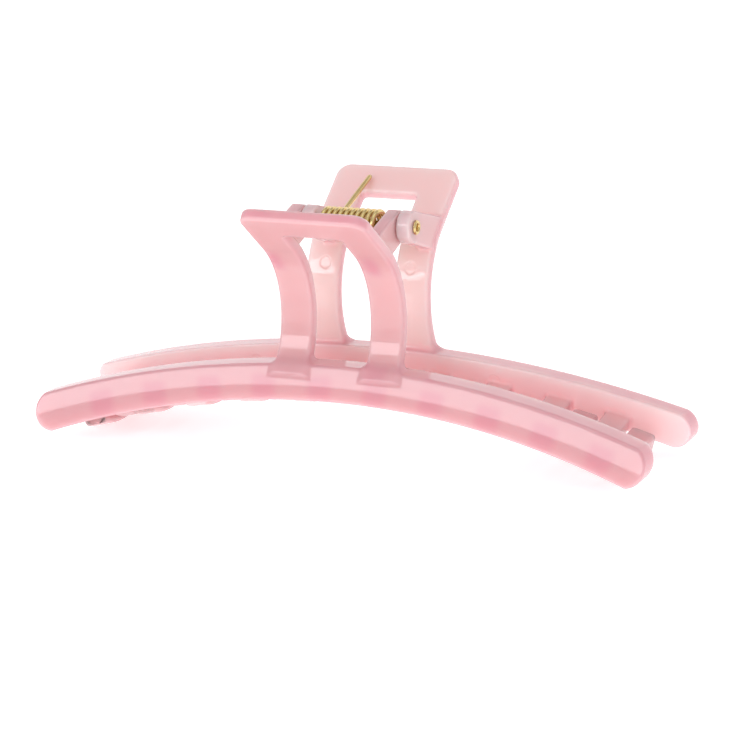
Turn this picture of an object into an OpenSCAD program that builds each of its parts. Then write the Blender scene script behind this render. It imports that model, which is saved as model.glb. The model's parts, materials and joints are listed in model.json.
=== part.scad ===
// Large two-jaw claw clip. Two identical moulded jaws face each other and turn on one
// tubular pin, and a torsion spring round the pin keeps their teeth closed.
// X runs along the clip, Y from the front jaw to the rear jaw, Z up.
// The origin is under the middle of the clip, level with the lowest teeth.

/* [Spine] */
// Length of a spine from end to end
spine_len = 135; // [120:1:150]
// Radius of the arch, at the spine's top edge
arch_r = 221; // [200:1:240]
// Height of a spine's face at its middle
spine_h = 7.1; // [6.6:0.1:7.6]
// Height of a spine's face at its ends
spine_end_h = 7.9; // [7.6:0.1:8.6]
// Thickness of a spine from its outer face to its inner face
spine_t = 5.6; // [4.6:0.1:6]
// Distance from the middle plane to the spine's outer face, at its top edge
spine_out = 11; // [10.6:0.1:12]
// Lean of the spine's face, its bottom edge outwards
spine_lean = 17.5; // [12:0.5:20]
// Radius of the spine's slight outward bow, seen along its face
bow_r = 1950; // [900:50:3000]

/* [Legs and thumb plate] */
// Half of the width over both legs and the thumb plate
plate_half_w = 13.7; // [13.2:0.1:14.2]
// Half of the slot between the legs where they meet the spine
slot_half_w = 6.4; // [6.2:0.1:7.2]
// Half of the slot between the legs in the thumb plate
slot_top_half_w = 6.2; // [5.8:0.1:6.4]
// Thickness of the legs and the thumb plate
leg_t = 2.6; // [2.2:0.1:3]
// Distance from the middle plane to a leg's outer face at its waist
waist_out = 7.3; // [6.8:0.1:7.4]
// Height of the waist above the spine's top edge
waist_z = 9.8; // [9:0.1:10.5]
// Radius of a leg's concave outer face
leg_r = 17.7; // [17:0.1:18.6]
// Lean of the thumb plate away from upright
plate_lean = 52; // [48:1:53]
// Length of the flat thumb plate, above the curved legs
plate_len = 14.2; // [13.4:0.1:16]
// Solid band between the slot and the plate's top edge
plate_band = 7.4; // [7:0.1:9]
// Radius of the thumb plate's top corners
plate_corner_r = 3; // [1.5:0.1:4]
// Radius of the slot's top corners
slot_corner_r = 0.8; // [0.6:0.1:2]

/* [Hinge] */
// Height of the pin above the spine's top edge
pin_z = 27.1; // [26.5:0.1:27.6]
// Radius of the pin's shaft
pin_r = 0.9; // [0.7:0.05:1.1]
// Radial clearance of the pin in its bores
pin_gap = 0.05; // [0.02:0.01:0.1]
// Radius of the knuckles round the pin
knuckle_r = 3.25; // [2.8:0.05:3.4]
// Thickness of one knuckle along the pin
knuckle_w = 2.9; // [2.4:0.1:3]
// Space between two neighbouring knuckles
knuckle_gap = 0.15; // [0.1:0.05:0.3]
// Radius of the pin's heads
head_r = 1.5; // [1.2:0.1:2]
// Thickness of the pin's heads
head_t = 0.5; // [0.4:0.05:0.8]

/* [Spring] */
// Diameter of the spring's wire
wire_d = 1.05; // [0.8:0.05:1.1]
// Outer diameter of the coil
coil_od = 6.5; // [6:0.1:6.8]
// Whole turns of the coil
coil_turns = 10; // [8:1:10]

/* [Teeth] */
// Number of teeth on one jaw
teeth = 10; // [8:1:10]
// Distance between two teeth of one jaw, along the arch
tooth_pitch = 12.8; // [12.4:0.1:13]
// Width of a tooth
tooth_w = 5.2; // [4:0.1:5.4]
// Depth of a middle tooth's underside below the spine's top edge
tooth_depth = 9.7; // [9.4:0.1:10.6]
// Depth of the outermost teeth's undersides below the spine's top edge
tooth_end_depth = 11.1; // [10.4:0.1:11.6]
// Gap between a tooth's tip and the other jaw's spine
tip_gap = 0.5; // [0.4:0.1:1.6]

/* [Hidden] */
$fn = 96;
rose = "#efb7bd";
gold = "#c9a765";

// The spine's crest height above the base: the outermost tooth's low corner is at zero.
last_tooth_s = (teeth - 1) / 2 * tooth_pitch + tooth_pitch / 4;
last_tooth_a = last_tooth_s / arch_r * 180 / PI;
crest_z = arch_r - (arch_r - tooth_end_depth) * cos(last_tooth_a) + tooth_w / 2 * sin(last_tooth_a);

// The spine's round ends: a hair larger than half its height, so they cross its edges.
end_r = spine_end_h / 2 + 0.25;
end_mid_r = arch_r - spine_end_h / 2;
end_a = asin((spine_len / 2 - end_r) / end_mid_r);
lean_out = spine_h * tan(spine_lean);

// The spine's underside: an arc through its middle and its two ends.
belly_x = (arch_r - spine_end_h) * sin(end_a);
belly_drop = arch_r - (arch_r - spine_end_h) * cos(end_a) - spine_h;
belly_r = (belly_x ^ 2 + belly_drop ^ 2) / (2 * belly_drop);

// The legs: a ring about this centre, from waist to thumb plate.
leg_cy = waist_out + leg_r;
leg_in_r = leg_r + leg_t;
leg_foot = -1.5;
scoop_side = 1.1;
scoop_skin = 0.05;

// The knuckles: the outer one stands a hair inside the leg's side.
knuckle_inset = 0.1;
outer_x = plate_half_w - knuckle_inset - knuckle_w;
inner_x = outer_x - knuckle_gap - knuckle_w;
knuckle_top_slope = 16.4;
knuckle_low_slope = 18.8;

// The spring's coil and where its legs leave it and rest.
coil_r = (coil_od - wire_d) / 2;
coil_side_gap = 0.8;
coil_half = inner_x - coil_side_gap - wire_d / 2;
leg_rest_up = 10.4;
leg_rest_x = 5.3;
rest_gap = 0.06;
ring_sides = 8;
turn_steps = 20;

// The teeth: how far they hang and where their arcs bottom out, from the middle plane.
tooth_top = 4.4;
tooth_sag = 5.8;
under_mid = 1.5;
top_mid = 2.5;

// Everything of one jaw is drawn as the front one, with the spine's crest at z = 0.
// Distance outwards from the middle plane is "out", and the front jaw has it along -Y.

// Bow and lean together: how much further out the spine is at arc length s.
function spine_drop(s) = arch_r * (1 - cos(s / arch_r * 180 / PI));
function bow(s) = s * s / (2 * bow_r) + spine_drop(s) * tan(spine_lean);
function spine_in(s) = spine_out - spine_t + bow(s);

// The teeth hang deeper towards the ends of the spine.
function depth_at(s) = tooth_depth + (tooth_end_depth - tooth_depth) * (s / last_tooth_s) ^ 2;

// Turns a profile drawn as [out, up] to stand across the clip, w wide, from x0 on.
module across(x0, w) {
    translate([x0, 0, 0])
        rotate([90, 0, -90])
            mirror([0, 0, 1])
                linear_extrude(w)
                    children();
}

// The spine's face outline: an arched bar with round ends, drawn as [x, up].
module arch_outline() {
    translate([0, -arch_r])
        difference() {
            intersection() {
                circle(arch_r, $fn = 720);
                union() {
                    polygon([[0, 0], 2 * arch_r * end_dir(-1), 2 * arch_r * end_dir(1)]);
                    for (side = [-1, 1])
                        translate(end_mid_r * end_dir(side))
                            circle(end_r);
                }
            }
            translate([0, arch_r - spine_h - belly_r])
                circle(belly_r, $fn = 720);
        }
}

function end_dir(side) = [side * sin(end_a), cos(end_a)];

// The spine's thickness: a tall slab bowed outwards at its ends and leaning.
module bowed_slab() {
    slab_h = 60;
    translate([0, -spine_out, 0])
        rotate([-spine_lean, 0, 0])
            translate([0, -bow_r, -slab_h / 2])
                difference() {
                    cylinder(h = slab_h, r = bow_r + spine_t * cos(spine_lean), $fn = 1440);
                    translate([0, 0, -1])
                        cylinder(h = slab_h + 2, r = bow_r, $fn = 1440);
                }
}

module spine() {
    intersection() {
        rotate([90, 0, 0])
            linear_extrude(40)
                arch_outline();
        bowed_slab();
    }
}

// The legs' profile: a ring sector from the spine up to where the flat plate starts.
module leg_profile() {
    intersection() {
        translate([leg_cy, waist_z])
            difference() {
                circle(leg_in_r);
                circle(leg_r);
            }
        polygon([
            [0, leg_foot],
            [leg_cy - leg_r * cos(35), leg_foot],
            [leg_cy, waist_z],
            [leg_cy - 2 * leg_r * cos(plate_lean), waist_z + 2 * leg_r * sin(plate_lean)],
            [0, waist_z + 2 * leg_r * sin(plate_lean)]
        ]);
    }
}

module legs() {
    difference() {
        across(-plate_half_w, 2 * plate_half_w)
            leg_profile();
        rotate([90, 0, 0])
            linear_extrude(40)
                polygon([
                    [-slot_half_w, leg_foot - 1],
                    [slot_half_w, leg_foot - 1],
                    [slot_top_half_w, pin_z],
                    [-slot_top_half_w, pin_z]
                ]);
    }
}

// A rectangle from y = 0 to y = l whose two top corners are round.
module round_top(half_w, l, r) {
    translate([-half_w, 0])
        square([2 * half_w, l - r]);
    translate([-half_w + r, 0])
        square([2 * (half_w - r), l]);
    for (side = [-1, 1])
        translate([side * (half_w - r), l - r])
            circle(r);
}

// The flat thumb plate, with the top of the slot in it.
module thumb_plate() {
    translate([0, -(leg_cy - leg_r * cos(plate_lean)), waist_z + leg_r * sin(plate_lean)])
        rotate([90 + plate_lean, 0, 0])
            mirror([0, 0, 1])
                linear_extrude(leg_t)
                    difference() {
                        round_top(plate_half_w, plate_len, plate_corner_r);
                        translate([0, -1])
                            round_top(slot_top_half_w, plate_len - plate_band + 1, slot_corner_r);
                    }
}

// One knuckle and the web that joins it to its leg and plate, drawn as [out, up].
module knuckle_profile() {
    top = knuckle_r * [sin(knuckle_top_slope), cos(knuckle_top_slope)];
    low = -knuckle_r * [sin(knuckle_low_slope), cos(knuckle_low_slope)];
    top_end = 14;
    low_end = 8.8;
    translate([0, pin_z]) {
        circle(knuckle_r);
        polygon([
            top,
            [top_end, top[1] - (top_end - top[0]) * tan(knuckle_top_slope)],
            [low_end, low[1] - (low_end - low[0]) * tan(knuckle_low_slope)],
            low
        ]);
    }
}

// A tooth's profile as [across, up] for a spine whose inner face is half_span away.
// It runs from inside its own spine to just short of the other one, whose lean its tip follows.
module tooth_profile(half_span, depth) {
    root = half_span + lean_out;
    under_drop = depth - spine_h;
    under_r = ((root + under_mid) ^ 2 + under_drop ^ 2) / (2 * under_drop);
    top_drop = tooth_sag - tooth_top;
    top_r = ((half_span + top_mid) ^ 2 + top_drop ^ 2) / (2 * top_drop);
    difference() {
        intersection() {
            translate([under_mid, under_r - depth])
                circle(under_r, $fn = 240);
            polygon([
                [-half_span - spine_t / 2, -depth - 1],
                [-half_span - spine_t / 2, 0],
                [half_span - tip_gap, 0],
                [half_span - tip_gap + (depth + 1) * tan(spine_lean), -depth - 1]
            ]);
        }
        translate([top_mid, top_r - tooth_sag])
            circle(top_r, $fn = 240);
    }
}

module tooth(s) {
    translate([0, 0, -arch_r])
        rotate([0, s / arch_r * 180 / PI, 0])
            translate([-tooth_w / 2, 0, arch_r])
                rotate([90, 0, 90])
                    linear_extrude(tooth_w)
                        tooth_profile(spine_in(s), depth_at(s));
}

// Hollows in the spine's outer face where the legs run down into it.
module scoops() {
    scoop_w = plate_half_w - slot_half_w - 2 * scoop_side;
    for (x = [slot_half_w + scoop_side, -plate_half_w + scoop_side])
        translate([x, -leg_cy, waist_z])
            rotate([0, 90, 0])
                cylinder(h = scoop_w, r = leg_r - scoop_skin);
}

module jaw() {
    color(rose)
        translate([0, 0, crest_z])
            difference() {
                union() {
                    spine();
                    legs();
                    thumb_plate();
                    for (x = [-outer_x - knuckle_w, inner_x])
                        across(x, knuckle_w)
                            knuckle_profile();
                    for (i = [0 : teeth - 1])
                        tooth((i - (teeth - 1) / 2) * tooth_pitch + tooth_pitch / 4);
                }
                scoops();
                translate([-plate_half_w - 1, 0, pin_z])
                    rotate([0, 90, 0])
                        cylinder(h = 2 * plate_half_w + 2, r = pin_r + pin_gap);
            }
}

module front_jaw() {
    jaw();
}

module rear_jaw() {
    rotate([0, 0, 180])
        jaw();
}

// The pin: a shaft with a head at each end, hollow where its right end is flared.
module hinge_pin() {
    shaft_half = plate_half_w + 0.08;
    hollow_r = 0.65;
    hollow_deep = 5;
    color(gold)
        translate([0, 0, crest_z + pin_z])
            rotate([0, 90, 0])
                difference() {
                    union() {
                        translate([0, 0, -shaft_half])
                            cylinder(h = 2 * shaft_half, r = pin_r);
                        for (end = [-shaft_half - head_t, shaft_half])
                            translate([0, 0, end])
                                cylinder(h = head_t, r = head_r);
                    }
                    translate([0, 0, shaft_half + head_t - hollow_deep])
                        cylinder(h = hollow_deep + 1, r = hollow_r);
                }
}

// The spring's rear leg rests on the rear plate's inner face, this far from the pin.
plate_foot = [leg_cy - leg_in_r * cos(plate_lean), waist_z + leg_in_r * sin(plate_lean)];
plate_dir = [sin(plate_lean), cos(plate_lean)];
plate_in = [-cos(plate_lean), sin(plate_lean)];
rest = plate_foot + leg_rest_up * plate_dir + (wire_d / 2 + rest_gap) * plate_in - [0, pin_z];
rest_a = atan2(rest[1], rest[0]);
start_a = rest_a - acos(coil_r / norm(rest));
total_a = 360 * coil_turns + 180 + 2 * start_a;
coil_steps = coil_turns * turn_steps;
coil_pitch = 2 * coil_half / total_a;

// The wire's centre line from the rear tip through the coil to the front tip.
function coil_point(a) = [
    -coil_half + coil_pitch * a,
    coil_r * cos(start_a - a),
    coil_r * sin(start_a - a)
];
wire_path = concat(
    [[-leg_rest_x, rest[0], rest[1]]],
    [for (i = [0 : coil_steps]) coil_point(total_a * i / coil_steps)],
    [[leg_rest_x, -rest[0], rest[1]]]
);

function unit(v) = v / norm(v);
function path_dir(p, i) = unit(p[min(i + 1, len(p) - 1)] - p[max(i - 1, 0)]);
function side_dir(d) = unit(cross(d, [1, 0.02, 0.03]));

// A round tube along a path, one ring of points at each path point.
module tube(path, r, sides) {
    rings = len(path);
    points = [
        for (i = [0 : rings - 1])
            let (d = path_dir(path, i), s = side_dir(d), t = cross(d, s))
                for (k = [0 : sides - 1])
                    path[i] + r * (cos(360 * k / sides) * s + sin(360 * k / sides) * t)
    ];
    walls = [
        for (i = [0 : rings - 2])
            for (k = [0 : sides - 1])
                let (n = (k + 1) % sides)
                    each [
                        [i * sides + k, (i + 1) * sides + k, (i + 1) * sides + n],
                        [i * sides + k, (i + 1) * sides + n, i * sides + n]
                    ]
    ];
    first_cap = [for (k = [0 : sides - 1]) k];
    last_cap = [for (k = [0 : sides - 1]) rings * sides - 1 - k];
    polyhedron(points, concat(walls, [first_cap, last_cap]));
}

module torsion_spring() {
    color(gold)
        translate([0, 0, crest_z + pin_z])
            tube(wire_path, wire_d / 2, ring_sides);
}

front_jaw();
rear_jaw();
torsion_spring();
hinge_pin();
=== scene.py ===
"""Looks of the claw clip: two moulded translucent jaws, a gold torsion spring and a tubular pin.

Lengths in this script are in millimetres until a mesh or an object is made, which is in metres.
A jaw is a distance field on a grid, in its own coordinates: x along the clip, q outwards from
the middle plane, and w up from the spine's crest. The fields follow the CAD's own shapes, and
what they add is what a moulding has: rounded edges, fillets, hollows and ejector marks.
"""

import json
from math import acos, asin, atan2, cos, pi, radians, sin, tan

import bpy
import numpy as np
import openvdb
from mathutils import Matrix, Vector


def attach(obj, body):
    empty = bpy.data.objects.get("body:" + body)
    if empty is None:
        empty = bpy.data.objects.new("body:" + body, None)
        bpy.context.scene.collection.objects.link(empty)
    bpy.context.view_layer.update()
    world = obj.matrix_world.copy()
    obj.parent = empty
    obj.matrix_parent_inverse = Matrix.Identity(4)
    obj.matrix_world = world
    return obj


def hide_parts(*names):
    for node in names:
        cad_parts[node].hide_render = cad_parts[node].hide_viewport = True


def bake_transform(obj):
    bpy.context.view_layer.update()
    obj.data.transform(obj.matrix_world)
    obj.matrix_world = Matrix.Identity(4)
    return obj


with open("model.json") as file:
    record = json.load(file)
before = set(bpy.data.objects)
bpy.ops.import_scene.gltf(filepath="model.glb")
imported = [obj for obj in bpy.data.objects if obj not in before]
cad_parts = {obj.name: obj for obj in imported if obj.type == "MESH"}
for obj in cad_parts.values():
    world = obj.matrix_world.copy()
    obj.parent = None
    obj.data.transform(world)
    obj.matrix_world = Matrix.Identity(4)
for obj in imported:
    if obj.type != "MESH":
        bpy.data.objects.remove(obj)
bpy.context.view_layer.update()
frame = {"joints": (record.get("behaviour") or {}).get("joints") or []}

MM = 0.001

# ---------------------------------------------------------------- the CAD's sizes, in mm
SPINE_LEN = 135.0
ARCH_R = 221.0
SPINE_H = 7.1
SPINE_END_H = 7.9
SPINE_T = 5.6
SPINE_OUT = 11.0
SPINE_LEAN = radians(17.5)
BOW_R = 1950.0
HALF_W = 13.7
SLOT_HALF_W = 6.4
SLOT_TOP_HALF_W = 6.2
LEG_T = 2.6
WAIST_OUT = 7.3
WAIST_Z = 9.8
LEG_R = 17.7
PLATE_LEAN = radians(52)
PLATE_LEN = 14.2
PLATE_BAND = 7.4
CORNER_R = 3.0
SLOT_CORNER_R = 0.8
PIN_Z = 27.1
PIN_R = 0.9
BORE_R = 0.95
KNUCKLE_R = 3.25
KNUCKLE_W = 2.9
KNUCKLE_GAP = 0.15
HEAD_R = 1.5
HEAD_T = 0.5
HOLLOW_R = 0.65
WIRE_D = 1.05
COIL_OD = 6.5
COIL_TURNS = 10
TEETH = 10
TOOTH_PITCH = 12.8
TOOTH_W = 5.2
TOOTH_DEPTH = 9.7
TOOTH_END_DEPTH = 11.1
TIP_GAP = 0.5
UNDER_MID = 1.5
TOP_MID = 2.5
TOOTH_TOP = 4.4
TOOTH_SAG = 5.8
COIL_SIDE_GAP = 0.8
LEG_REST_UP = 10.4
LEG_REST_X = 5.3
REST_GAP = 0.06
LEG_FOOT = -1.5
KNUCKLE_TOP_SLOPE = radians(16.4)
KNUCKLE_LOW_SLOPE = radians(18.8)

LEG_CY = WAIST_OUT + LEG_R
LEG_MID = LEG_R + LEG_T / 2
END_MID = ARCH_R - SPINE_END_H / 2
END_R = SPINE_END_H / 2 + 0.25
END_A = asin((SPINE_LEN / 2 - END_R) / END_MID)
BELLY_DROP = ARCH_R - (ARCH_R - SPINE_END_H) * cos(END_A) - SPINE_H
BELLY_R = (((ARCH_R - SPINE_END_H) * sin(END_A)) ** 2 + BELLY_DROP**2) / (2 * BELLY_DROP)
LAST_TOOTH_S = (TEETH - 1) / 2 * TOOTH_PITCH + TOOTH_PITCH / 4
OUTER_X = HALF_W - 0.1 - KNUCKLE_W
INNER_X = OUTER_X - KNUCKLE_GAP - KNUCKLE_W

hinge = frame["joints"][0]
AXIS_Z = hinge["pos_m"][2] / MM
CREST_Z = AXIS_Z - PIN_Z

# ---------------------------------------------------------------- what the moulding adds, in mm
# The rounding of each shape's edges, and the fillets where shapes meet.
FACE_CROWN = 0.2
SPINE_EDGE = 0.5
SHEET_EDGE = 0.7
KNUCKLE_EDGE = 0.4
TOOTH_EDGE = 0.7
TIP_ROUND = 1.1
BORE_EDGE = 0.12
SCOOP_EDGE = 0.4
MARK_EDGE = 0.08
FILLET = 0.7
LEG_FILLET = 1.6

# Ejector marks: on the legs and the spine's inner face, their radius and how deep they are.
MARK_X = 9.55
MARK_S = 7.0
SPINE_MARK_X = 27.0
MARK_R = 1.2
MARK_DEEP = 0.14

# The hollows in the spine's face under the legs.
SCOOP_RIM = 0.9
SCOOP_OFF = 0.05

# How far in the plastic is measured for its colour.
THICK_REACH = 9.0

# ---------------------------------------------------------------- distance fields


def rounded(r, *fields):
    """What lies inside all of the fields, with the edges between them rounded to radius r."""
    inside = fields[0]
    for f in fields[1:]:
        inside = np.maximum(inside, f)
    outside = sum(np.maximum(f + r, 0) ** 2 for f in fields)
    return np.minimum(inside + r, 0) + np.sqrt(outside) - r


def filleted(r, a, b):
    """Both fields together, with a fillet of radius r where they meet."""
    near = np.maximum(r - a, 0) ** 2 + np.maximum(r - b, 0) ** 2
    return np.maximum(np.minimum(a, b), r) - np.sqrt(near)


def spine_in(s):
    """How far out the spine's inner face is at arc length s, level with its top edge."""
    drop = ARCH_R * (1 - cos(s / ARCH_R))
    return SPINE_OUT - SPINE_T + s * s / (2 * BOW_R) + drop * tan(SPINE_LEAN)


def spine_field(x, q, w):
    """The arched bar with rounded ends, which leans outwards, bows and has a crowned face."""
    z = w + ARCH_R
    top = np.hypot(x, z) - ARCH_R
    belly = BELLY_R - np.hypot(x, w + SPINE_H + BELLY_R)
    past_end = np.abs(np.arctan2(x, z)) - END_A
    end = np.hypot(np.abs(x) - END_MID * sin(END_A), z - END_MID * cos(END_A)) - END_R
    bar = np.maximum(np.maximum(top, belly), np.where(past_end < 0, -END_R, end))
    depth = (SPINE_OUT - q) * cos(SPINE_LEAN) - w * sin(SPINE_LEAN)
    far = np.hypot(x, depth + BOW_R)
    crown = FACE_CROWN * ((top - belly) / SPINE_H) ** 2
    outer = BOW_R - far + crown
    inner = far - BOW_R - SPINE_T * cos(SPINE_LEAN)
    body = rounded(SPINE_EDGE, bar, np.maximum(outer, inner))
    mark = np.hypot(np.abs(x) - SPINE_MARK_X, (top - belly) / 2) - MARK_R
    dent = np.maximum(mark, -MARK_DEEP - inner)
    return rounded(MARK_EDGE, body, -dent)


def sheet_coords(q, w):
    """Distance inwards from the sheet's middle surface, and the length along it from the waist."""
    dq, dw = q - LEG_CY, w - WAIST_Z
    angle = np.arctan2(dw, -dq)
    bend_q = LEG_CY - LEG_MID * cos(PLATE_LEAN)
    bend_w = WAIST_Z + LEG_MID * sin(PLATE_LEAN)
    flat_s = (q - bend_q) * sin(PLATE_LEAN) + (w - bend_w) * cos(PLATE_LEAN)
    flat_p = -(q - bend_q) * cos(PLATE_LEAN) + (w - bend_w) * sin(PLATE_LEAN)
    curved = angle < PLATE_LEAN
    p = np.where(curved, np.hypot(dq, dw) - LEG_MID, flat_p)
    s = np.where(curved, angle * LEG_MID, PLATE_LEAN * LEG_MID + flat_s)
    return p, s


def round_rect(half, top, r, ax, s):
    """A strip of that half width that ends at s = top with its two corners rounded."""
    across, along = ax - (half - r), s - (top - r)
    reach = np.hypot(np.maximum(across, 0), np.maximum(along, 0))
    return np.minimum(np.maximum(across, along), 0) + reach - r


def sheet_field(x, q, w):
    """Both legs and the thumb plate, which are one bent sheet with a slot up its middle."""
    p, s = sheet_coords(q, w)
    ax = np.abs(x)
    bend_s = PLATE_LEAN * LEG_MID
    outline = round_rect(HALF_W, bend_s + PLATE_LEN, CORNER_R, ax, s)
    rise = np.clip((w - LEG_FOOT + 1) / (PIN_Z - LEG_FOOT + 1), 0, 1)
    half = SLOT_HALF_W + (SLOT_TOP_HALF_W - SLOT_HALF_W) * rise
    slot = round_rect(half, bend_s + PLATE_LEN - PLATE_BAND, SLOT_CORNER_R, ax, s)
    body = rounded(SHEET_EDGE, np.abs(p) - LEG_T / 2, np.maximum(outline, -slot))
    mark = np.hypot(ax - MARK_X, s - MARK_S) - MARK_R
    dent = np.maximum(mark, LEG_T / 2 - MARK_DEEP - p)
    body = rounded(MARK_EDGE, body, -dent)
    return np.maximum(body, LEG_FOOT - w)


def scoop_field(x, q, w):
    """The hollows in the spine's face where the legs run down into it."""
    middle = (HALF_W + SLOT_HALF_W) / 2
    half = (HALF_W - SLOT_HALF_W) / 2 - SCOOP_RIM
    across = (np.abs(x) - middle) / half
    hollow = np.hypot(q - LEG_CY, w - WAIST_Z) - LEG_R + SCOOP_OFF + SCOOP_RIM * across**2
    return np.maximum(hollow * 0.9, (np.abs(across) - 1) * half)


def knuckle_field(x, q, w, low_x, high_x):
    """A side plate of the hinge: a round end about the pin, and a web back to the thumb plate."""
    top_slope, low_slope = KNUCKLE_TOP_SLOPE, KNUCKLE_LOW_SLOPE
    up = w - PIN_Z
    top = KNUCKLE_R * np.array([sin(top_slope), cos(top_slope)])
    low = -KNUCKLE_R * np.array([sin(low_slope), cos(low_slope)])
    above = (q - top[0]) * sin(top_slope) + (up - top[1]) * cos(top_slope)
    below = -(q - low[0]) * sin(low_slope) - (up - low[1]) * cos(low_slope)
    p = sheet_coords(q, w)[0]
    web = np.maximum(np.maximum(above, below), np.maximum(-q, -p))
    side = np.minimum(np.hypot(q, up) - KNUCKLE_R, web)
    return rounded(KNUCKLE_EDGE, side, np.maximum(low_x - x, x - high_x))


def tooth_field(x, q, w, s):
    """The tooth at arc length s: a bar between two arcs, cut off short of the other spine."""
    a = s / ARCH_R
    along = x * cos(a) - (w + ARCH_R) * sin(a)
    up = x * sin(a) + (w + ARCH_R) * cos(a) - ARCH_R
    y = -q
    span = spine_in(s)
    tip = span - TIP_GAP
    root = span + SPINE_H * tan(SPINE_LEAN)
    depth = TOOTH_DEPTH + (TOOTH_END_DEPTH - TOOTH_DEPTH) * (s / LAST_TOOTH_S) ** 2
    drop = depth - SPINE_H
    under_r = ((root + UNDER_MID) ** 2 + drop**2) / (2 * drop)
    fall = TOOTH_SAG - TOOTH_TOP
    top_r = ((span + TOP_MID) ** 2 + fall**2) / (2 * fall)
    under = np.hypot(y - UNDER_MID, up - under_r + depth) - under_r
    over = top_r - np.hypot(y - TOP_MID, up - top_r + TOOTH_SAG)
    end = (y - tip) * cos(SPINE_LEAN) + up * sin(SPINE_LEAN)
    side = rounded(TIP_ROUND, under, over, end)
    side = np.maximum(side, -span - SPINE_T / 2 - y)
    return rounded(TOOTH_EDGE, side, np.abs(along) - TOOTH_W / 2)


class Grid:
    """A block of space that holds a distance field, sampled every `step`."""

    def __init__(self, low, high, step):
        self.low, self.step = np.array(low, float), step
        shape = [int(round((b - a) / step)) + 1 for a, b in zip(low, high)]
        self.field = np.full(shape, 50.0, np.float32)

    def part(self, low, high):
        """The slices and the three coordinate arrays of a box inside the block."""
        first = [max(0, int((a - o) / self.step)) for a, o in zip(low, self.low)]
        last = [
            min(n, int((b - o) / self.step) + 2)
            for b, o, n in zip(high, self.low, self.field.shape)
        ]
        lines = [
            (o + self.step * np.arange(i, j)).astype(np.float32)
            for i, j, o in zip(first, last, self.low)
        ]
        x, q, w = np.meshgrid(*lines, indexing="ij", sparse=True)
        return tuple(slice(i, j) for i, j in zip(first, last)), x, q, w

    def sample(self, points):
        """The field at points, by straight-line interpolation between samples."""
        g = (points - self.low) / self.step
        top = np.array(self.field.shape) - 1.001
        g = np.clip(g, 0, top)
        i = g.astype(int)
        f = (g - i).astype(np.float32)
        value = 0.0
        for dx in (0, 1):
            for dy in (0, 1):
                for dz in (0, 1):
                    share = (
                        (f[:, 0] if dx else 1 - f[:, 0])
                        * (f[:, 1] if dy else 1 - f[:, 1])
                        * (f[:, 2] if dz else 1 - f[:, 2])
                    )
                    value = value + share * self.field[i[:, 0] + dx, i[:, 1] + dy, i[:, 2] + dz]
        return value


def jaw_grid(step):
    """The whole jaw's field. Each shape is worked out only in a box that holds it."""
    grid = Grid((-69, -8.5, -20), (69, 25.5, 35.5), step)
    cut, x, q, w = grid.part((-69, 4, -20), (69, 22, 2))
    grid.field[cut] = spine_field(x, q, w)
    cut, x, q, w = grid.part((-15, 4, -8), (15, 22, 2))
    grid.field[cut] = rounded(SCOOP_EDGE, grid.field[cut], -scoop_field(x, q, w))
    cut, x, q, w = grid.part((-15, 2, -4), (15, 25.5, 35.5))
    grid.field[cut] = filleted(LEG_FILLET, grid.field[cut], sheet_field(x, q, w))
    for low_x, high_x in ((-HALF_W, -OUTER_X), (INNER_X, INNER_X + KNUCKLE_W)):
        cut, x, q, w = grid.part((low_x - 2, -5, 16), (high_x + 2, 16, 33))
        knuckle = knuckle_field(x, q, w, low_x, high_x)
        grid.field[cut] = filleted(FILLET, grid.field[cut], knuckle)
    for i in range(TEETH):
        s = (i - (TEETH - 1) / 2) * TOOTH_PITCH + TOOTH_PITCH / 4
        x0 = ARCH_R * sin(s / ARCH_R)
        w0 = ARCH_R * cos(s / ARCH_R) - ARCH_R
        cut, x, q, w = grid.part((x0 - 6, -8.5, w0 - 13), (x0 + 6, 15, w0 + 1))
        tooth = tooth_field(x, q, w, s)
        grid.field[cut] = filleted(FILLET, grid.field[cut], tooth)
    cut, x, q, w = grid.part((-15, -3, PIN_Z - 3), (15, 3, PIN_Z + 3))
    bore = BORE_R - np.hypot(q, w - PIN_Z) + 0 * x
    grid.field[cut] = rounded(BORE_EDGE, grid.field[cut], bore)
    return grid


def thickness(grid, points, normals, steps=18):
    """How much plastic lies straight in behind each point, up to THICK_REACH."""
    total = np.zeros(len(points), np.float32)
    part = THICK_REACH / steps
    for i in range(steps):
        value = grid.sample(points - normals * part * (i + 0.5))
        total += part * np.clip(0.5 - value / part, 0, 1)
    return total


def softened(faces, values, rounds):
    """Values per point, averaged with their neighbours' over and over."""
    ends = np.concatenate([faces[:, [i, (i + 1) % 4]] for i in range(4)])
    count = np.bincount(ends[:, 0], minlength=len(values))
    for _ in range(rounds):
        total = np.bincount(ends[:, 0], weights=values[ends[:, 1]], minlength=len(values))
        values = 0.5 * values + 0.5 * total / np.maximum(count, 1)
    return values


def field_mesh(grid):
    """The field's surface: places in metres, quads, normals, and the plastic's depth in mm."""
    band = 3 * grid.step
    near = np.clip(grid.field, -band, band)
    volume = openvdb.FloatGrid(float(band))
    volume.copyFromArray(near)
    points, quads = volume.convertToQuads(isovalue=0.0)
    points = grid.low + points.astype(np.float64) * grid.step
    delta = 0.6 * grid.step
    slope = np.empty_like(points)
    for axis in range(3):
        shift = np.zeros(3)
        shift[axis] = delta
        slope[:, axis] = grid.sample(points + shift) - grid.sample(points - shift)
    slope /= np.maximum(np.linalg.norm(slope, axis=1, keepdims=True), 1e-9)
    points -= slope * grid.sample(points)[:, None]
    depth = thickness(grid, points, slope)
    place = np.stack([points[:, 0], -points[:, 1], points[:, 2] + CREST_Z], axis=1) * MM
    normal = np.stack([slope[:, 0], -slope[:, 1], slope[:, 2]], axis=1)
    return place, quads.astype(np.int64), normal, depth


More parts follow.
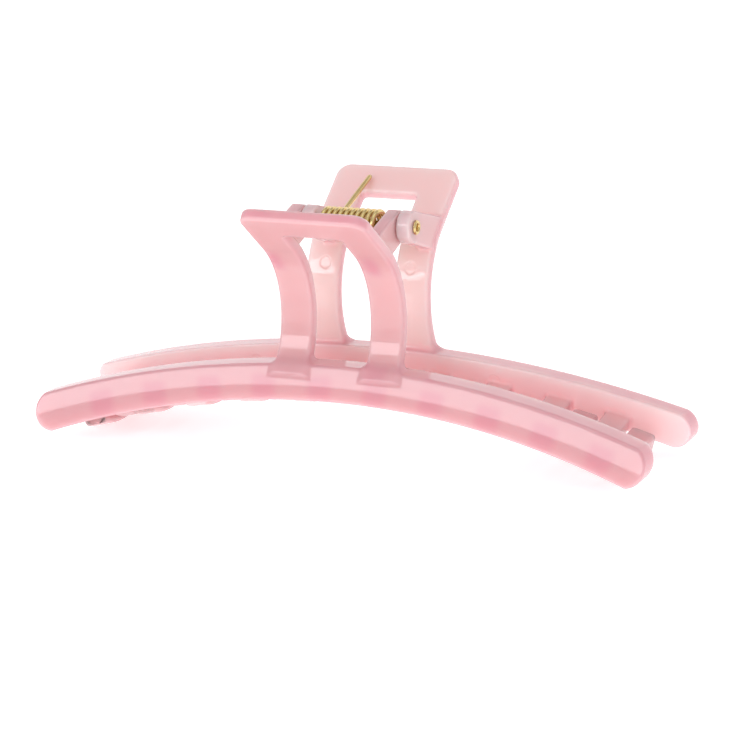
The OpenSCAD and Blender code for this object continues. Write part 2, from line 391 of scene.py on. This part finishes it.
def make_mesh(name, place, faces, normal=None, **values):
    """A mesh object from arrays, with faces wound outwards and float attributes per point."""
    a, b, c = (place[faces[:, i]] for i in (0, 1, 2))
    if normal is not None:
        facing = np.einsum("ij,ij->i", np.cross(b - a, c - b), normal[faces[:, 0]])
        if np.median(facing) < 0:
            faces = faces[:, ::-1]
    mesh = bpy.data.meshes.new(name)
    mesh.vertices.add(len(place))
    mesh.vertices.foreach_set("co", place.astype(np.float32).ravel())
    mesh.loops.add(faces.size)
    mesh.loops.foreach_set("vertex_index", np.ascontiguousarray(faces, np.int32).ravel())
    mesh.polygons.add(len(faces))
    starts = np.arange(0, faces.size, faces.shape[1], dtype=np.int32)
    mesh.polygons.foreach_set("loop_start", starts)
    mesh.update(calc_edges=True)
    mesh.validate()
    mesh.polygons.foreach_set("use_smooth", np.ones(len(mesh.polygons), bool))
    if normal is not None:
        mesh.normals_split_custom_set_from_vertices(normal.astype(np.float32))
    for key, value in values.items():
        layer = mesh.attributes.new(key, "FLOAT", "POINT")
        layer.data.foreach_set("value", np.asarray(value, np.float32))
    obj = bpy.data.objects.new(name, mesh)
    bpy.context.scene.collection.objects.link(obj)
    return obj


# ---------------------------------------------------------------- materials
# A Mix node in colour mode takes its two colours at inputs A and B, and gives them at RESULT.
MIX_A, MIX_B, MIX_RESULT = 6, 7, 2


def principled(name):
    material = bpy.data.materials.new(name)
    material.use_nodes = True
    tree = material.node_tree
    return material, tree, tree.nodes["Principled BSDF"]


def node(tree, kind, **settings):
    made = tree.nodes.new(kind)
    for key, value in settings.items():
        setattr(made, key, value)
    return made


def plastic():
    """Milky translucent rose plastic: pale and peachy where it is thin, deeper where it is thick.

    The faces towards the other jaw are painted paler and those turned outwards darker: painted light
    and shade, standing in for light that comes through the plastic.
    """
    material, tree, shader = principled("rose_plastic")
    link = tree.links.new
    shader.inputs["Roughness"].default_value = 0.07
    shader.inputs["IOR"].default_value = 1.5
    shader.inputs["Subsurface Weight"].default_value = 0.7
    shader.inputs["Subsurface Radius"].default_value = (1.0, 0.6, 0.6)
    shader.inputs["Subsurface Scale"].default_value = 0.009
    thick = node(tree, "ShaderNodeAttribute", attribute_name="thick")
    ramp = node(tree, "ShaderNodeValToRGB")
    ramp.color_ramp.elements[0].position = 0.25
    ramp.color_ramp.elements[0].color = (0.93, 0.72, 0.71, 1)
    ramp.color_ramp.elements[1].position = 1.0
    ramp.color_ramp.elements[1].color = (0.88, 0.55, 0.61, 1)
    middle = ramp.color_ramp.elements.new(0.62)
    middle.color = (0.90, 0.65, 0.67, 1)
    place = node(tree, "ShaderNodeTexCoord")
    cloud = node(tree, "ShaderNodeTexNoise")
    cloud.inputs["Scale"].default_value = 90.0
    cloud.inputs["Detail"].default_value = 2.0
    mix = node(tree, "ShaderNodeMath", operation="MULTIPLY_ADD")
    mix.inputs[1].default_value = 0.16
    link(place.outputs["Object"], cloud.inputs["Vector"])
    link(cloud.outputs["Fac"], mix.inputs[0])
    shift = node(tree, "ShaderNodeMath", operation="SUBTRACT")
    shift.inputs[1].default_value = 0.08
    link(thick.outputs["Fac"], shift.inputs[0])
    link(shift.outputs[0], mix.inputs[2])
    link(mix.outputs[0], ramp.inputs["Fac"])
    # Painted light and shade: faces towards the other jaw are painted paler, faces turned outwards
    # darker.
    turned = node(tree, "ShaderNodeAttribute", attribute_name="inner")
    side_light_paint = node(tree, "ShaderNodeValToRGB")
    side_light_paint.color_ramp.elements[0].color = (0.70, 0.54, 0.56, 1)
    side_light_paint.color_ramp.elements[1].color = (0.96, 0.91, 0.90, 1)
    both = node(tree, "ShaderNodeMix", data_type="RGBA", blend_type="MULTIPLY")
    both.inputs["Factor"].default_value = 1.0
    link(turned.outputs["Fac"], side_light_paint.inputs["Fac"])
    link(ramp.outputs["Color"], both.inputs[MIX_A])
    link(side_light_paint.outputs["Color"], both.inputs[MIX_B])
    link(both.outputs[MIX_RESULT], shader.inputs["Base Color"])
    return material


def gold():
    """Gold-plated steel, with faint drawing lines."""
    material, tree, shader = principled("gold")
    link = tree.links.new
    shader.inputs["Metallic"].default_value = 1.0
    place = node(tree, "ShaderNodeTexCoord")
    grain = node(tree, "ShaderNodeTexNoise")
    grain.inputs["Scale"].default_value = 900.0
    ramp = node(tree, "ShaderNodeValToRGB")
    ramp.color_ramp.elements[0].color = (0.62, 0.43, 0.17, 1)
    ramp.color_ramp.elements[1].color = (0.83, 0.66, 0.34, 1)
    rough = node(tree, "ShaderNodeMapRange")
    rough.inputs["To Min"].default_value = 0.16
    rough.inputs["To Max"].default_value = 0.3
    link(place.outputs["Object"], grain.inputs["Vector"])
    link(grain.outputs["Fac"], ramp.inputs["Fac"])
    link(grain.outputs["Fac"], rough.inputs["Value"])
    link(ramp.outputs["Color"], shader.inputs["Base Color"])
    link(rough.outputs["Result"], shader.inputs["Roughness"])
    return material


# ---------------------------------------------------------------- the jaws

rose = plastic()
grid = jaw_grid(0.25)
place, faces, normal, depth = field_mesh(grid)
thick = softened(faces, np.clip(depth / THICK_REACH, 0, 1), 32)
# Painted light and shade: from 0 on the faces turned outwards, painted darker, to 1 on those turned
# towards the other jaw, painted paler.
inner = np.clip(0.25 + 0.8 * normal[:, 1], 0, 1)
half_turn = np.array([-1.0, -1.0, 1.0])
for body, sign in (("front_jaw", np.ones(3)), ("rear_jaw", half_turn)):
    jaw = make_mesh(body + "_moulding", place * sign, faces, normal * sign, thick=thick, inner=inner)
    jaw.data.materials.append(rose)
    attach(jaw, body)
    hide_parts(body)

# ---------------------------------------------------------------- the spring and the pin


def swept_tube(path, r, sides):
    """A round tube along a path, with slightly rounded ends: places and quads."""
    path = np.array(path)
    ahead = np.gradient(path, axis=0)
    ahead /= np.linalg.norm(ahead, axis=1, keepdims=True)
    side = np.cross(ahead[0], [1.0, 0.02, 0.03])
    rings = []
    radii = np.full(len(path), r)
    radii[:2] = radii[:-3:-1] = (0.7 * r, 0.93 * r)
    for i in range(len(path)):
        side = side - ahead[i] * np.dot(side, ahead[i])
        side /= np.linalg.norm(side)
        other = np.cross(ahead[i], side)
        turn = 2 * pi * np.arange(sides) / sides
        ring = np.cos(turn)[:, None] * side + np.sin(turn)[:, None] * other
        rings.append(path[i] + radii[i] * ring)
    places = np.concatenate(rings)
    faces = []
    for i in range(len(path) - 1):
        for k in range(sides):
            n = (k + 1) % sides
            low, high = i * sides, (i + 1) * sides
            faces.append((low + k, low + n, high + n, high + k))
    last = (len(path) - 1) * sides
    for k in range(1, sides - 1, 2):
        faces.append((0, k + 2, k + 1, k))
        faces.append((last, last + k, last + k + 1, last + k + 2))
    return places, np.array(faces)


def spring_path(per_turn):
    """The wire's middle line about the pin: a leg to the rear plate, the coil, and the other leg."""
    coil_r = (COIL_OD - WIRE_D) / 2
    coil_half = INNER_X - COIL_SIDE_GAP - WIRE_D / 2
    inner_r = LEG_R + LEG_T
    bend = np.array([LEG_CY - inner_r * cos(PLATE_LEAN), WAIST_Z + inner_r * sin(PLATE_LEAN)])
    along = np.array([sin(PLATE_LEAN), cos(PLATE_LEAN)])
    inwards = np.array([-cos(PLATE_LEAN), sin(PLATE_LEAN)])
    rest = bend + LEG_REST_UP * along + (WIRE_D / 2 + REST_GAP) * inwards - np.array([0, PIN_Z])
    rest_a = atan2(rest[1], rest[0])
    start_a = rest_a - acos(coil_r / np.linalg.norm(rest))
    total = 2 * pi * COIL_TURNS + pi + 2 * start_a
    count = COIL_TURNS * per_turn
    a = total * np.arange(count + 1) / count
    coil = np.stack(
        [
            -coil_half + 2 * coil_half / total * a,
            coil_r * np.cos(start_a - a),
            coil_r * np.sin(start_a - a),
        ],
        axis=1,
    )
    tips = (np.array([-LEG_REST_X, rest[0], rest[1]]), np.array([LEG_REST_X, -rest[0], rest[1]]))
    shares = (0, 0.015, 0.03, 0.25, 0.5, 0.75, 0.94)
    first = [tips[0] + (coil[0] - tips[0]) * t for t in shares]
    last = [tips[1] + (coil[-1] - tips[1]) * t for t in reversed(shares)]
    return np.array(first + list(coil) + last)


metal = gold()
path = spring_path(40)
places, quads = swept_tube(path, WIRE_D / 2, 16)
places[:, 2] += AXIS_Z
spring = make_mesh("spring_wire", places * MM, quads)
spring.data.materials.append(metal)
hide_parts("torsion_spring")
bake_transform(spring)


def lathe(profile, sides):
    """Turns a closed profile of (along x, radius) points about the pin's axis."""
    profile = np.array(profile)
    turn = 2 * pi * np.arange(sides) / sides
    n = len(profile)
    places = np.stack(
        [
            np.repeat(profile[:, 0], sides),
            np.outer(profile[:, 1], np.cos(turn)).ravel(),
            np.outer(profile[:, 1], np.sin(turn)).ravel() + AXIS_Z,
        ],
        axis=1,
    )
    faces = []
    for i in range(n - 1):
        for k in range(sides):
            m = (k + 1) % sides
            low, high = i * sides, (i + 1) * sides
            faces.append((low + k, high + k, high + m, low + m))
    return places, np.array(faces)


def pin_profile():
    """From the left head's dome, along the shaft, and round the right rim into the hollow."""
    end = HALF_W + 0.08
    lap = 0.02
    dome = np.linspace(0, pi / 2, 9)
    points = [(-end - HEAD_T * cos(a), lap + (HEAD_R - lap) * sin(a)) for a in dome]
    points += [(-end + lap, HEAD_R - 0.06), (-end + lap, PIN_R)]
    points += [(end - lap, PIN_R), (end - lap, HEAD_R - 0.16)]
    rim_mid, rim_r = (HEAD_R + 0.75) / 2, (HEAD_R - 0.75) / 2
    rim = np.linspace(0.1, pi, 13)
    points += [(end + HEAD_T * sin(a), rim_mid + rim_r * cos(a)) for a in rim]
    points += [(end - 0.3, HOLLOW_R + lap), (end - 4.2, HOLLOW_R), (end - 4.5, lap)]
    return points


places, quads = lathe(pin_profile(), 48)
pin = make_mesh("hinge_tube", places * MM, quads)
pin.data.materials.append(metal)
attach(pin, "front_jaw")
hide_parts("hinge_pin")

# ---------------------------------------------------------------- floor, lights and camera
WHITE = (1, 1, 1)


def floor_and_wall():
    """A plain pale floor that runs up into a wall behind."""
    material, tree, shader = principled("paper")
    shader.inputs["Roughness"].default_value = 0.9
    shader.inputs["Specular IOR Level"].default_value = 0.1
    shader.inputs["Emission Color"].default_value = (1, 1, 1, 1)
    shader.inputs["Emission Strength"].default_value = 0.45
    place = node(tree, "ShaderNodeTexCoord")
    noise = node(tree, "ShaderNodeTexNoise")
    noise.inputs["Scale"].default_value = 40.0
    ramp = node(tree, "ShaderNodeValToRGB")
    ramp.color_ramp.elements[0].color = (0.93, 0.93, 0.93, 1)
    ramp.color_ramp.elements[1].color = (0.96, 0.96, 0.96, 1)
    tree.links.new(place.outputs["Object"], noise.inputs["Vector"])
    tree.links.new(noise.outputs["Fac"], ramp.inputs["Fac"])
    tree.links.new(ramp.outputs["Color"], shader.inputs["Base Color"])
    half, front, back, high, bend = 3.0, -2.5, 2.2, 2.5, 0.6
    curve = np.linspace(0.1, pi / 2, 12)
    profile = [(front, 0.0), (back - bend, 0.0)]
    profile += [(back - bend + bend * sin(a), bend - bend * cos(a)) for a in curve]
    profile.append((back, high))
    places, faces = [], []
    for y, z in profile:
        places += [(-half, y, z), (half, y, z)]
    for i in range(len(profile) - 1):
        faces.append((2 * i, 2 * i + 1, 2 * i + 3, 2 * i + 2))
    stage = make_mesh("paper_sweep", np.array(places), np.array(faces))
    stage.data.materials.append(material)


def softbox(name, azimuth, elevation, distance, size, radiance, colour=WHITE, shadow=True):
    """An area light aimed at the clip, in metres. Azimuth 0 is the front, positive to the right."""
    aim = Vector((0, 0, 0.03))
    a, e = radians(azimuth), radians(elevation)
    away = Vector((sin(a) * cos(e), -cos(a) * cos(e), sin(e)))
    data = bpy.data.lights.new(name, "AREA")
    data.shape = "RECTANGLE"
    data.size, data.size_y = size
    data.energy = radiance * pi * size[0] * size[1]
    data.color = colour
    data.use_shadow = shadow
    lamp = bpy.data.objects.new(name, data)
    lamp.location = aim + away * distance
    lamp.rotation_euler = (-away).to_track_quat("-Z", "Y").to_euler()
    bpy.context.scene.collection.objects.link(lamp)


floor_and_wall()
softbox("key_box", -25, 21, 0.9, (0.6, 0.23), 4.7, (0.94, 0.97, 1.0))
softbox("fill_box", 42, 32, 1.1, (0.8, 0.8), 0.3)
softbox("low_fill", 25, -30, 1.2, (0.9, 0.5), 2.4, shadow=False)
softbox("top_box", 20, 80, 1.0, (0.9, 0.7), 0.5)

world = bpy.data.worlds.new("studio")
world.use_nodes = True
world.node_tree.nodes["Background"].inputs["Color"].default_value = (1, 1, 1, 1)
world.node_tree.nodes["Background"].inputs["Strength"].default_value = 0.6
bpy.context.scene.world = world
bpy.context.scene.view_settings.view_transform = "Standard"

camera_data = bpy.data.cameras.new("camera")
camera_data.sensor_width = 36.0
camera_data.lens = 143.0
camera_data.clip_start = 0.01
camera_data.clip_end = 20.0
camera = bpy.data.objects.new("camera", camera_data)
forward = Vector((-0.409, 0.875, -0.2567)).normalized()
right = Vector((0.909, 0.4156, -0.0317))
right = (right - forward * right.dot(forward)).normalized()
up = right.cross(forward)
turned = Matrix((right, up, -forward)).transposed().to_4x4()
turned.translation = Vector((0.248, -0.5249, 0.1507 + CREST_Z * MM))
camera.matrix_world = turned
bpy.context.scene.collection.objects.link(camera)
bpy.context.scene.camera = camera
